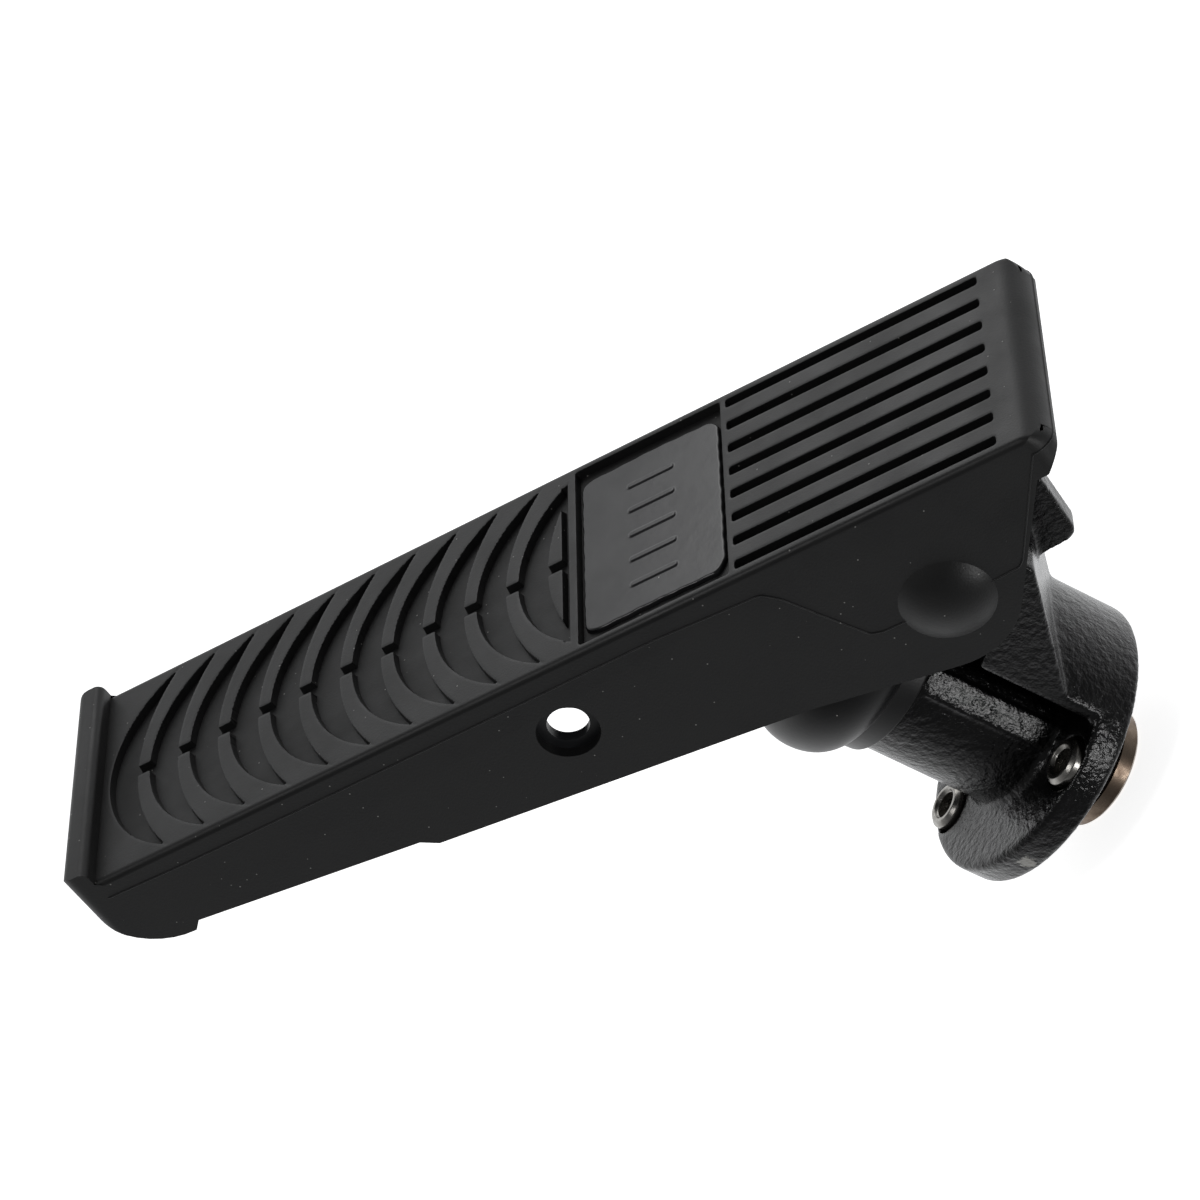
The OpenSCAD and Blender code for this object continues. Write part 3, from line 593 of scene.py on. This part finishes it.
@dataclass
class TreadCover:
    """The moulded rubber cover: tread sheet, side walls, domes' parting line and heel roll.

    Sizes in mm, in pedal coordinates.
    """

    half_w: float = 40.0
    top: float = TREAD_TOP
    edge: float = 2.0
    heel: float = HEEL_END
    toe: float = 253.4
    corner: float = 7.0
    pocket_pitch: float = 13.85
    pocket_first: float = 250.9
    pockets: int = 11
    outer_r: float = 42.5
    inner_r: float = 63.5
    pocket_w: float = 9.8
    pocket_depth: float = 2.4
    channel: float = 4.0
    channel_end: float = 246.4
    lip_foot: float = 247.5
    groove: tuple[float, float] = (95.75, 98.05)
    groove_half: float = 33.0
    recess: tuple[float, float] = (45.75, 93.35)
    recess_half: float = 37.0
    recess_depth: float = 2.6
    slots: tuple[float, float] = (-35.85, 44.15)
    slot_pitch: float = 9.92
    slot_w: float = 3.7
    slot_depth: float = 3.0
    slot_count: int = 8

    def inside(self, x: np.ndarray, y: np.ndarray) -> tuple[np.ndarray, np.ndarray, np.ndarray]:
        """Distances inside the tread's three kinds of recess, positive inside, in mm.

        A pocket's distance is the smaller of those inside its outer arc and outside its inner
        one, and the pockets, channel and groove take the largest of theirs.

        Args:
            x: x' of each grid point.
            y: y of each grid point.

        Returns:
            The pattern's, the badge recess's and the slots' distances.
        """
        sd = np.full(x.shape, -50.0)
        for k in range(self.pockets):
            apex = self.pocket_first - k * self.pocket_pitch
            out = self.outer_r - np.hypot(x - (apex - self.outer_r), y)
            inn = np.hypot(x - (apex - self.pocket_w - self.inner_r), y) - self.inner_r
            sd = np.maximum(sd, np.minimum(out, inn))
        sd = np.minimum(sd, x - self.groove[0])
        channel = np.minimum(self.channel / 2 - np.abs(y),
                             np.minimum(x - self.groove[0], self.channel_end - x))
        sd = np.maximum(sd, channel)
        groove = box_distance(x, y, (sum(self.groove) / 2, 0),
                              ((self.groove[1] - self.groove[0]) / 2, self.groove_half), 0.8)
        sd = np.maximum(sd, groove)
        recess = box_distance(x, y, (sum(self.recess) / 2, 0),
                              ((self.recess[1] - self.recess[0]) / 2, self.recess_half), 1.2)
        lane = (y / self.slot_pitch + (self.slot_count - 1) / 2)
        lane = (np.clip(np.round(lane), 0, self.slot_count - 1)
                - (self.slot_count - 1) / 2) * self.slot_pitch
        slot = box_distance(x, y - lane, (sum(self.slots) / 2, 0),
                            ((self.slots[1] - self.slots[0]) / 2, self.slot_w / 2), 1.0)
        return sd, recess, slot

    def settle(self, x: np.ndarray, y: np.ndarray,
               reach: float = 0.24) -> tuple[np.ndarray, np.ndarray]:
        """Slides grid points near a recess's rim or foot onto it, so that its line is clean.

        A point whose distance s is within reach of 0 or of WALL moves by
        (target - s) grad s, with grad s from differences 0.02 mm apart. Three passes.

        Args:
            x: x' of the grid.
            y: y of the grid.
            reach: how far a point may be from its line.

        Returns:
            The new x' and y.
        """
        x, y = x.copy(), y.copy()
        h = 0.01
        for _ in range(3):
            here = np.max(self.inside(x, y), axis=0)
            gx = (np.max(self.inside(x + h, y), axis=0) - np.max(self.inside(x - h, y), axis=0))
            gy = (np.max(self.inside(x, y + h), axis=0) - np.max(self.inside(x, y - h), axis=0))
            gx, gy = gx / (2 * h), gy / (2 * h)
            size = np.maximum(np.hypot(gx, gy), 0.5)
            goal = np.where(here < WALL / 2, 0.0, WALL)
            move = np.where(np.abs(goal - here) < reach, goal - here, 0.0)
            x[1:-1] += (move * gx / size)[1:-1]
            y[:, 1:-1] += (move * gy / size)[:, 1:-1]
        return x, y

    def depth_at(self, x: np.ndarray, y: np.ndarray) -> np.ndarray:
        """Depth of the tread below its top: 0.96 d clip(s / WALL), and 0.04 d eased at the rim.

        Args:
            x: x' of each grid point.
            y: y of each grid point.

        Returns:
            Depth in mm, that of the deepest recess at each point.
        """
        deeps = (self.pocket_depth, self.recess_depth, self.slot_depth)
        parts = [d * (0.04 * smooth_step((s + 0.5) / 0.5) + 0.96 * np.clip(s / WALL, 0, 1))
                 for s, d in zip(self.inside(x, y), deeps)]
        return np.max(parts, axis=0)

    def tread_sheet(self) -> np.ndarray:
        """The tread from wall to wall with its rounded edges, as z' = top - depth(x', y).

        w(x') = W - c + sqrt(c^2 - (x'_c - x')^2) is the half width, narrowing past the plan
        corner's centre x'_c. y = v min(W - e, w) across the flat, then on the edge's round
        y = min(W - e + e sin a, w), z' = top - e + sqrt(e^2 - (y - W + e)^2). The border is
        turned down 0.8 mm just inside the walls, and the heel's end carries it down the roll.

        Returns:
            Points (n, m, 3) in the row frame.
        """
        e, c = self.edge, self.corner
        inner = self.half_w - e
        x_heel = self.heel + 0.01
        parts = [
            x_heel + 2.1 * (1 - np.cos(np.linspace(0.0, np.pi / 2, 12))),
            np.arange(x_heel + 2.1, self.slots[0] - 1, 0.7),
            np.arange(self.slots[0] - 1, self.slots[0] + 2, 0.3),
            np.arange(self.slots[0] + 2, self.slots[1] - 2, 2.0),
            np.arange(self.slots[1] - 2, self.recess[0] + 1.2, 0.3),
            np.arange(self.recess[0] + 1.2, self.recess[1] - 1.2, 2.0),
            np.arange(self.recess[1] - 1.2, self.groove[1] + 1, 0.3),
            np.arange(self.groove[1] + 1, self.lip_foot, 0.46),
            np.arange(self.lip_foot, self.toe, 0.3), [self.toe + 0.05]]
        xs = np.unique(np.round(np.concatenate(parts), 4))
        v = np.linspace(-1, 1, 171)
        past = np.clip(self.heel + c - xs, 0, c)
        wide = self.half_w - c + np.sqrt(np.maximum(c * c - past * past, 0))
        x = np.broadcast_to(xs[:, None], (len(xs), len(v)))
        x, y = self.settle(x, np.minimum(inner, wide)[:, None] * v[None, :])
        z = self.top - self.depth_at(x, y)
        flat = np.stack([x, y, z], -1)
        a = np.linspace(0, np.pi / 2, 9)[1:]
        y_edge = np.minimum(inner + e * np.sin(a)[None, :], wide[:, None])
        rise = np.sqrt(np.maximum(e * e - np.maximum(y_edge - inner, 0) ** 2, 0))
        x_edge = np.broadcast_to(xs[:, None], y_edge.shape)
        edge = np.stack([x_edge, y_edge, self.top - e + rise], -1)
        skirt = edge[:, -1:] - np.array([0, 0.15, 0.8])
        side = np.concatenate([edge, skirt], axis=1)
        other = side[:, ::-1] * np.array([1.0, -1.0, 1.0])
        pts = np.concatenate([other, flat, side], axis=1)
        down = np.repeat(pts[:1], 16, axis=0)
        down[..., 0] = self.heel - 0.03
        down[..., 2] = np.linspace(self.top - HEEL_ROLL, self.top - 0.45, 16)[:, None]
        return on_pedal(heel_roll(np.concatenate([down, pts], axis=0)))

    def walls(self) -> bpy.types.Object:
        """The CAD cover's walls, lip and domes, without its top, rolled over at the heel."""
        obj = merged_copy("rubber_cover", "rubber_cover_walls")
        bm = bmesh.new()
        bm.from_mesh(obj.data)
        c, s = math.cos(TILT), math.sin(TILT)
        doomed = []
        for face in bm.faces:
            mid = face.calc_center_median() / MM
            dx, dz = mid.x - PIVOT[0], mid.z - PIVOT[2]
            xl, zl = dx * c + dz * s, -dx * s + dz * c
            normal_z = -face.normal.x * s + face.normal.z * c
            cut = abs(mid.y) < self.half_w - self.edge + 0.05 and zl > self.top - 3.2 \
                and xl > self.slots[0] - 0.5 and normal_z > -0.5
            cap = zl > self.top - self.edge - 0.05 and normal_z > 0.05
            stub = zl > self.top - self.edge + 0.05 and xl > self.toe - 5
            if xl < self.toe - 0.04 and (cut or cap or stub):
                doomed.append(face)
        bmesh.ops.delete(bm, geom=doomed, context="FACES")
        bmesh.ops.dissolve_limit(bm, angle_limit=math.radians(0.4), verts=bm.verts,
                                 edges=bm.edges, use_dissolve_boundaries=False)
        for step in range(10):
            for at, normal in (((self.heel + HEEL_ROLL - 0.89 * step, 0, 0), (c, 0, s)),
                               ((0, 0, self.top - HEEL_ROLL + 0.89 * step), (-s, 0, c))):
                near = [f for f in bm.faces
                        if f.calc_center_median().x / MM < PIVOT[0] - 12]
                geom = near + list({e for f in near for e in f.edges}) \
                    + list({v for f in near for v in f.verts})
                bmesh.ops.bisect_plane(bm, geom=geom, dist=1e-6, plane_no=normal,
                                       plane_co=Vector(on_pedal(np.array(at, float))) * MM)
        bm.to_mesh(obj.data)
        bm.free()
        flat = np.empty(len(obj.data.vertices) * 3)
        obj.data.vertices.foreach_get("co", flat)
        moved = on_pedal(heel_roll(off_pedal(flat.reshape(-1, 3) / MM))) * MM
        obj.data.vertices.foreach_set("co", moved.ravel())
        smooth(obj.data, 31)
        return obj

    def parting_path(self) -> np.ndarray:
        """Mould parting line on the +Y side, in pedal mm: straight runs with eased corners."""
        knots = np.array([
            (253.6, 31.2), (228, 30.5), (176, 30.2), (73.5, 30.3), (41.5, 28.6), (37.6, 24.5),
            (30, 11.5), (23.6, 0.8), (20, -0.4), (13.8, -0.5), (0, -0.5), (-14, -0.6),
            (-21.8, -0.2), (-23.7, 1.5), (-43.2, 31.6)])
        span = np.concatenate([[0], np.cumsum(np.hypot(*np.diff(knots, axis=0).T))])
        at = np.linspace(0, span[-1], 420)
        x, z = np.interp(at, span, knots[:, 0]), np.interp(at, span, knots[:, 1])
        kernel = np.ones(3) / 3
        x[1:-1], z[1:-1] = np.convolve(x, kernel, "valid"), np.convolve(z, kernel, "valid")
        return np.stack([x, z], -1)

    def parting_line(self) -> np.ndarray:
        """Thin flash where the mould closed, half buried, along both walls and round the heel.

        y = W on each side, so that the dome covers it, then the plan corner's arc and straight
        across the heel's end.

        Returns:
            Tube points in the row frame.
        """
        line = self.parting_path()
        side = np.stack([line[:, 0], np.full(len(line), self.half_w), line[:, 1]], -1)
        a = np.linspace(0, np.pi / 2, 14)[1:]
        r = self.corner
        bend = np.stack([self.heel + r - r * np.sin(a), self.half_w - r + r * np.cos(a),
                         np.full_like(a, line[-1, 1])], -1)
        across = np.linspace(bend[-1], bend[-1] * [1, -1, 1], 40)[1:-1]
        flip = np.array([1.0, -1.0, 1.0])
        path = np.concatenate([side, bend, across, bend[::-1] * flip, side[::-1] * flip])
        return on_pedal(heel_roll(tube(path, 0.3, 6)))

    def mark_recesses(self, obj: bpy.types.Object) -> None:
        """Stores how deep each point of the tread lies, 0 at the top to 1 at a floor, for the painted shade
        and roughness of the recess floors.
        """
        mesh = obj.data
        flat = np.empty(len(mesh.vertices) * 3)
        mesh.vertices.foreach_get("co", flat)
        local = off_pedal(flat.reshape(-1, 3) / MM)
        deep = np.clip(self.depth_at(local[:, 0], local[:, 1]) / self.pocket_depth, 0, 1)
        mark = mesh.attributes.new("recess", "FLOAT", "POINT")
        mark.data.foreach_set("value", deep.astype(np.float32))

    def build(self) -> None:
        """Makes the cover's pieces, dresses them and sets them on the pedal."""
        tread = make_object("tread_sheet", [(self.tread_sheet(), False, True)], 38)
        self.mark_recesses(tread)
        walls = self.walls()
        flash = make_object("cover_flash_lines", [(self.parting_line(), True, False)])
        face_out(flash)
        TREAD_RUBBER.dress(tread)
        PEDAL_RUBBER.dress(walls, flash)
        for obj in (tread, walls, flash):
            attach(obj, Body.PEDAL.value)
        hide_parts("rubber_cover")
        log.info("tread cover: %d tread faces", len(tread.data.polygons))


def face_out(obj: bpy.types.Object) -> None:
    """Turns every closed shell of a mesh outwards."""
    bm = bmesh.new()
    bm.from_mesh(obj.data)
    bmesh.ops.recalc_face_normals(bm, faces=bm.faces)
    bm.to_mesh(obj.data)
    bm.free()


@dataclass
class BadgePlate:
    """Plain glossy plate in the tread's recess, with five raised bars. Sizes in mm."""

    mid: float = 69.55
    half: tuple[float, float] = (22.5, 32.5)
    floor: float = 34.9
    thick: float = 1.4
    corner: float = 5.0
    bars: int = 5
    bar_pitch: float = 10.5

    def surface(self) -> np.ndarray:
        """Top and edge of the plate.

        x = a u, y = b v g(u), where g draws the corners in; z = floor + T e(s) + bars, with s
        the distance inside the outline and e = sqrt(1 - (1 - s / 0.8)^2) as the rolled edge.

        Returns:
            Points in the row frame.
        """
        u = np.linspace(-1, 1, 181)
        v = np.linspace(-1, 1, 241)
        a, b = self.half
        x = np.broadcast_to((a * u)[:, None], (181, 241))
        past = np.clip(np.abs(a * u) - (a - self.corner), 0, self.corner)
        wide = b - self.corner + np.sqrt(np.maximum(self.corner ** 2 - past ** 2, 0))
        y = wide[:, None] * v[None, :]
        ragged = 0.22 * (np.sin(y * 0.83 + x * 0.2) * np.sin(y * 0.31 + 2) + 0.5 * np.sin(x * 0.9))
        s = box_distance(x, y, (0, 0), self.half, self.corner)
        t = np.clip(s / 0.8, 0, 1)
        z = self.thick * np.sqrt(1 - (1 - t) ** 2)
        for k in range(self.bars):
            place = (k - self.bars // 2) * self.bar_pitch
            bar = box_distance(x, y, (0.0, place), (7.5, 1.1), 0.9)
            z = z + 0.35 * smooth_step((bar + 0.2) / 0.5)
        grow = 1 + ragged * smooth_step(1 - s / 4) / 30
        pts = np.stack([self.mid + x * grow, y * grow, self.floor + z], -1)
        low = pts.copy()
        low[..., 2] = self.floor
        pts = np.concatenate([low[:, :1], pts, low[:, -1:]], axis=1)
        ends = pts.copy()
        ends[..., 2] = self.floor
        return on_pedal(np.concatenate([ends[:1], pts, ends[-1:]], axis=0))

    def build(self) -> None:
        """Makes the plate and sets it on the pedal."""
        plate = make_object("badge_plate_plain", [(self.surface(), False, True)], 50)
        BADGE_GLOSS.dress(plate)
        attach(plate, Body.PEDAL.value)
        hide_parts("badge_plate")


@dataclass
class BracketCasting:
    """The sand-cast bracket: every arris softened and every corner filleted as cast."""

    voxel: float = 0.85
    # Inner radius, outer radius and top, in mm, of the band that closes the flange's edge
    # behind the screws.
    rim: tuple[float, float, float] = (41.3, 42.85, 9.9)

    def build(self) -> None:
        """Remeshes a copy of the CAD casting, rounds it and stands it for the node."""
        obj = merged_copy("cast_bracket", "cast_bracket_skin")
        inner, outer, high = self.rim
        low = 0.8
        ring = lathe(np.array([(inner, low), (outer, low), (outer, high), (inner, high),
                               (inner, low)]), (0, 0), 128)
        rim = make_object("rim", [(ring, True, False)])
        face_out(rim)
        join(obj, rim)
        remesh = obj.modifiers.new("cast_skin", "REMESH")
        remesh.mode = "VOXEL"
        remesh.voxel_size = self.voxel * MM
        remesh.use_smooth_shade = True
        relax = obj.modifiers.new("cast_fillets", "SMOOTH")
        relax.factor = 0.5
        relax.iterations = 4
        bake_modifiers(obj)
        smooth(obj.data, 180)
        CAST_ENAMEL.dress(obj)
        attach(obj, Body.BRACKET.value)
        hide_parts("cast_bracket")
        log.info("cast bracket: %d faces", len(obj.data.polygons))


def join(obj: bpy.types.Object, other: bpy.types.Object) -> None:
    """Adds another object's mesh to this one's, and removes the other."""
    bm = bmesh.new()
    bm.from_mesh(obj.data)
    bm.from_mesh(other.data)
    bm.to_mesh(obj.data)
    bm.free()
    bpy.data.meshes.remove(other.data)


def bake_modifiers(obj: bpy.types.Object) -> None:
    """Turns an object's modifiers into its own mesh."""
    graph = bpy.context.evaluated_depsgraph_get()
    shaped = bpy.data.meshes.new_from_object(obj.evaluated_get(graph))
    old = obj.data
    obj.modifiers.clear()
    obj.data = shaped
    shaped.name = obj.name
    bpy.data.meshes.remove(old)


@dataclass
class FlangeScrews:
    """Three socket-head screws in the flange. Sizes in mm."""

    ring: float = 35.0
    angles: tuple[float, ...] = (0.0, 120.0, 240.0)
    head_r: float = 7.1
    top: float = 12.6
    seat: float = 4.6
    key: float = 3.9

    def head(self, angle: float) -> np.ndarray:
        """One head: a lathe profile whose recess is hexagonal.

        Inside the recess the radius is k / cos((a mod 60) - 30), the hexagon of apothem k.

        Args:
            angle: place on the bolt circle, degrees.

        Returns:
            Points (n, m, 3).
        """
        prof = rounded_profile([
            (0.0, self.seat, 0), (self.head_r, self.seat, 0.3), (self.head_r, self.top - 1.2, 0.8),
            (self.head_r - 1.3, self.top, 0.8), (self.key * 1.22, self.top, 0.5),
            (self.key * 1.08, self.top - 0.8, 0.4), (self.key, self.top - 1.0, 0.3),
            (self.key, self.top - 5.0, 0.3), (0.0, self.top - 5.6, 0)], 6)
        steps = 96
        a = np.linspace(0, 360, steps, endpoint=False)
        hexa = 1 / np.cos(np.radians((a % 60) - 30))
        inner = (prof[:, 0] <= self.key + 0.02) & (np.arange(len(prof)) > len(prof) // 3)
        swell = np.where(inner[:, None], hexa[None, :], 1.0)
        cx = self.ring * math.cos(math.radians(angle))
        cy = self.ring * math.sin(math.radians(angle))
        return lathe(prof, (cx, cy), steps, swell)

    def shank(self, angle: float) -> np.ndarray:
        """The plain shank down to the mounting face."""
        prof = rounded_profile([(0.0, 0.5, 0), (4.6, 0.5, 0.4), (4.9, 0.9, 0.2),
                                (4.9, self.seat + 0.2, 0), (0.0, self.seat + 0.2, 0)], 4)
        a = math.radians(angle)
        return lathe(prof, (self.ring * math.cos(a), self.ring * math.sin(a)), 48)

    def build(self) -> None:
        """Makes the screws and sets them in the bracket."""
        sheets = [(self.head(a), True, False) for a in self.angles]
        sheets += [(self.shank(a), True, False) for a in self.angles]
        obj = make_object("flange_screw_heads", sheets, 45)
        face_out(obj)
        BRIGHT_STEEL.dress(obj)
        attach(obj, Body.BRACKET.value)
        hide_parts("flange_screws")
        log.info("flange screws: %d", len(self.angles))


@dataclass
class PlungerBoot:
    """The rubber boot between the boss and the plunger rod. Sizes in mm."""

    foot: float = 55.4
    neck_low: float = 62.4
    roll_z: float = 73.4
    top: float = 99.0
    wall: float = 2.0

    def outer(self) -> np.ndarray:
        """Outer profile: sleeve, step, elliptic roll, cone and cuff.

        The roll is r = 25.3 + 7 cos a, z = 73.4 + 11 sin a, for a from -62 to 62 degrees.
        """
        a = np.radians(np.linspace(-62, 62, 30))
        roll = np.stack([25.3 + 7 * np.cos(a), self.roll_z + 11 * np.sin(a)], -1)
        low = rounded_profile([(22.6, self.foot, 0), (25.4, self.foot, 0.7),
                               (25.75, self.neck_low - 0.5, 0.5), (26.4, self.neck_low, 0.3),
                               (27.4, self.neck_low + 0.5, 0.4), tuple(roll[0]) + (0.0,)], 5)
        high = rounded_profile([tuple(roll[-1]) + (0.0,), (12.3, 90.0, 3.0), (11.2, 91.6, 0.8),
                                (11.2, self.top - 0.2, 0.9), (8.1, self.top - 0.2, 0)], 7)
        return np.concatenate([low[:-1], roll, high[1:]])

    def build(self) -> None:
        """Makes the boot's wall as one closed shell that folds between boss and rod."""
        out = self.outer()
        inn = out[::-1].copy()
        inn[:, 0] = np.maximum(inn[:, 0] - self.wall, 8.05)
        inn[:, 1] = np.clip(inn[:, 1], self.foot + 0.05, self.top - 0.3)
        seat = inn[:, 1] < self.neck_low - 1.0
        inn[seat, 0] = np.maximum(inn[seat, 0], 23.35)
        prof = np.concatenate([out, inn, out[:1]])
        obj = make_object("rubber_boot_shell", [(lathe(prof, (0, 0), 112), True, False)], 60)
        face_out(obj)
        BOOT_RUBBER.dress(obj)
        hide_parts("rubber_boot")
        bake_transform(obj, Body.BRACKET.value, Body.PLUNGER.value,
                 start=(0, 0, 0.063), end=(0, 0, 0.098))
        log.info("boot: %d faces", len(obj.data.polygons))


@dataclass
class PlainParts:
    """CAD nodes whose shape is right and only need their finish."""

    kept: dict[Any, tuple[str, ...]] = field(default_factory=lambda: {
        OILED_STEEL: ("guide_sleeve",),
        BLACK_RUBBER: ("sleeve_seal", "rod_wiper", "rest_bumper"),
        ZINC_STEEL: ("lower_spring_seat", "pivot_spacers", "bracket_bolts", "bracket_nuts",
                     "bumper_screw", "spring_collar"),
        SPRING_STEEL: ("seat_circlip", "return_spring", "pin_circlips", "roller_pin_clips",
                       "collar_circlip"),
        SINTERED_BRONZE: ("pivot_bushes",),
        PAINTED_STEEL: ("pedal_frame", "roller_bracket"),
        BRIGHT_STEEL: ("pivot_pin", "roller_pin", "roller", "plunger_rod", "wear_button"),
    })

    def build(self) -> None:
        """Dresses each kept node."""
        for finish, names in self.kept.items():
            finish.dress_node(*names)


# ---- Room ----


@dataclass
class Studio:
    """Pale floor, soft light and the camera."""

    floor_gap: float = 0.4
    lens: float = 150.0
    bright_side: tuple[float, float, float] = (0.54, -0.76, -0.36)
    bright: float = 1.1
    dim: float = 0.12

    def floor(self) -> None:
        """A wide plain floor just under the sleeve, with paper's faint tooth."""
        lo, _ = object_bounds()
        z = lo.z - self.floor_gap * MM
        mesh = bpy.data.meshes.new("floor")
        mesh.from_pydata([(-9, -9, z), (9, -9, z), (9, 9, z), (-9, 9, z)], [], [(0, 1, 2, 3)])
        obj = bpy.data.objects.new("floor", mesh)
        bpy.context.scene.collection.objects.link(obj)
        mat = bpy.data.materials.new("white_paper_sweep")
        mat.use_nodes = True
        shader = mat.node_tree.nodes["Principled BSDF"]
        shader.inputs["Base Color"].default_value = linear("#fbfbfb")
        shader.inputs["Roughness"].default_value = 0.9
        shader.inputs["Specular IOR Level"].default_value = 0.1
        shader.inputs["Emission Color"].default_value = linear("#ffffff")
        shader.inputs["Emission Strength"].default_value = 0.86
        mesh.materials.append(mat)
        obj.visible_diffuse = False
        obj.visible_glossy = False
        obj.visible_shadow = False
        obj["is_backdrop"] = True

    def softbox(self, name: str, place: tuple[float, float, float], aim: tuple[float, float, float],
                size: tuple[float, float], power: float) -> None:
        """Adds one rectangular soft light.

        Args:
            name: light name.
            place: position in metres.
            aim: point it faces.
            size: width and height in metres.
            power: watts.
        """
        data = bpy.data.lights.new(name, "AREA")
        data.shape = "RECTANGLE"
        data.size, data.size_y = size
        data.energy = power
        obj = bpy.data.objects.new(name, data)
        obj.location = place
        obj.rotation_euler = (Vector(aim) - Vector(place)).to_track_quat("-Z", "Y").to_euler()
        obj.visible_camera = False
        bpy.context.scene.collection.objects.link(obj)

    def lights(self) -> None:
        """Sky-like fill and three softboxes."""
        world = bpy.data.worlds.new("studio_air")
        world.use_nodes = True
        tree = world.node_tree
        back = tree.nodes["Background"]
        back.inputs["Color"].default_value = linear("#f6f7f8")
        way = add_node(tree, "ShaderNodeTexCoord").outputs["Generated"]
        lean = add_node(tree, "ShaderNodeVectorMath", {0: way, 1: self.bright_side},
                        operation="DOT_PRODUCT").outputs["Value"]
        glow = add_node(tree, "ShaderNodeMapRange", {
            "Value": lean, "From Min": -0.5, "From Max": 0.8, "To Min": self.dim,
            "To Max": self.bright}, interpolation_type="SMOOTHSTEP").outputs["Result"]
        tree.links.new(glow, back.inputs["Strength"])
        bpy.context.scene.world = world
        mid = (0.05, 0.0, 0.08)
        self.softbox("rear_softbox", (-0.25, -0.8, 0.8), mid, (0.5, 0.5), 1.2)
        self.softbox("boss_side_box", (-0.72, 0.75, -0.36), (-0.01, 0.01, 0.03), (0.22, 0.4), 2.6)
        self.softbox("upper_left_box", (-0.1, 0.5, 1.2), mid, (0.3, 0.3), 1.6)

    def camera(self) -> None:
        """Camera with the given lens, from its position and its three axes."""
        right = Vector((-0.53754572, 0.01615059, -0.84304049))
        down = Vector((0.6461264, 0.65023285, -0.39957675))
        ahead = Vector((0.54175214, -0.75957624, -0.35994943))
        data = bpy.data.cameras.new("camera")
        data.lens = self.lens
        data.sensor_width = 36.0
        data.clip_start = 0.01
        data.clip_end = 50
        obj = bpy.data.objects.new("camera", data)
        turn = Matrix((right, -down, -ahead)).transposed().to_4x4()
        obj.matrix_world = Matrix.Translation((-0.730793, 1.055542, 0.638525)) @ turn
        bpy.context.scene.collection.objects.link(obj)
        bpy.context.scene.camera = obj

    def build(self) -> None:
        """Sets up the whole room."""
        bpy.context.scene.view_settings.view_transform = "Standard"
        self.floor()
        self.lights()
        self.camera()


def main() -> None:
    """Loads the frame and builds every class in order."""
    logging.basicConfig(level=logging.INFO, format="%(message)s")
    _FRAME.update(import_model())
    Studio().build()
    for part in (TreadCover(), BadgePlate(), BracketCasting(), FlangeScrews(), PlungerBoot(),
                 PlainParts()):
        part.build()


if __name__ == "__main__":
    main()
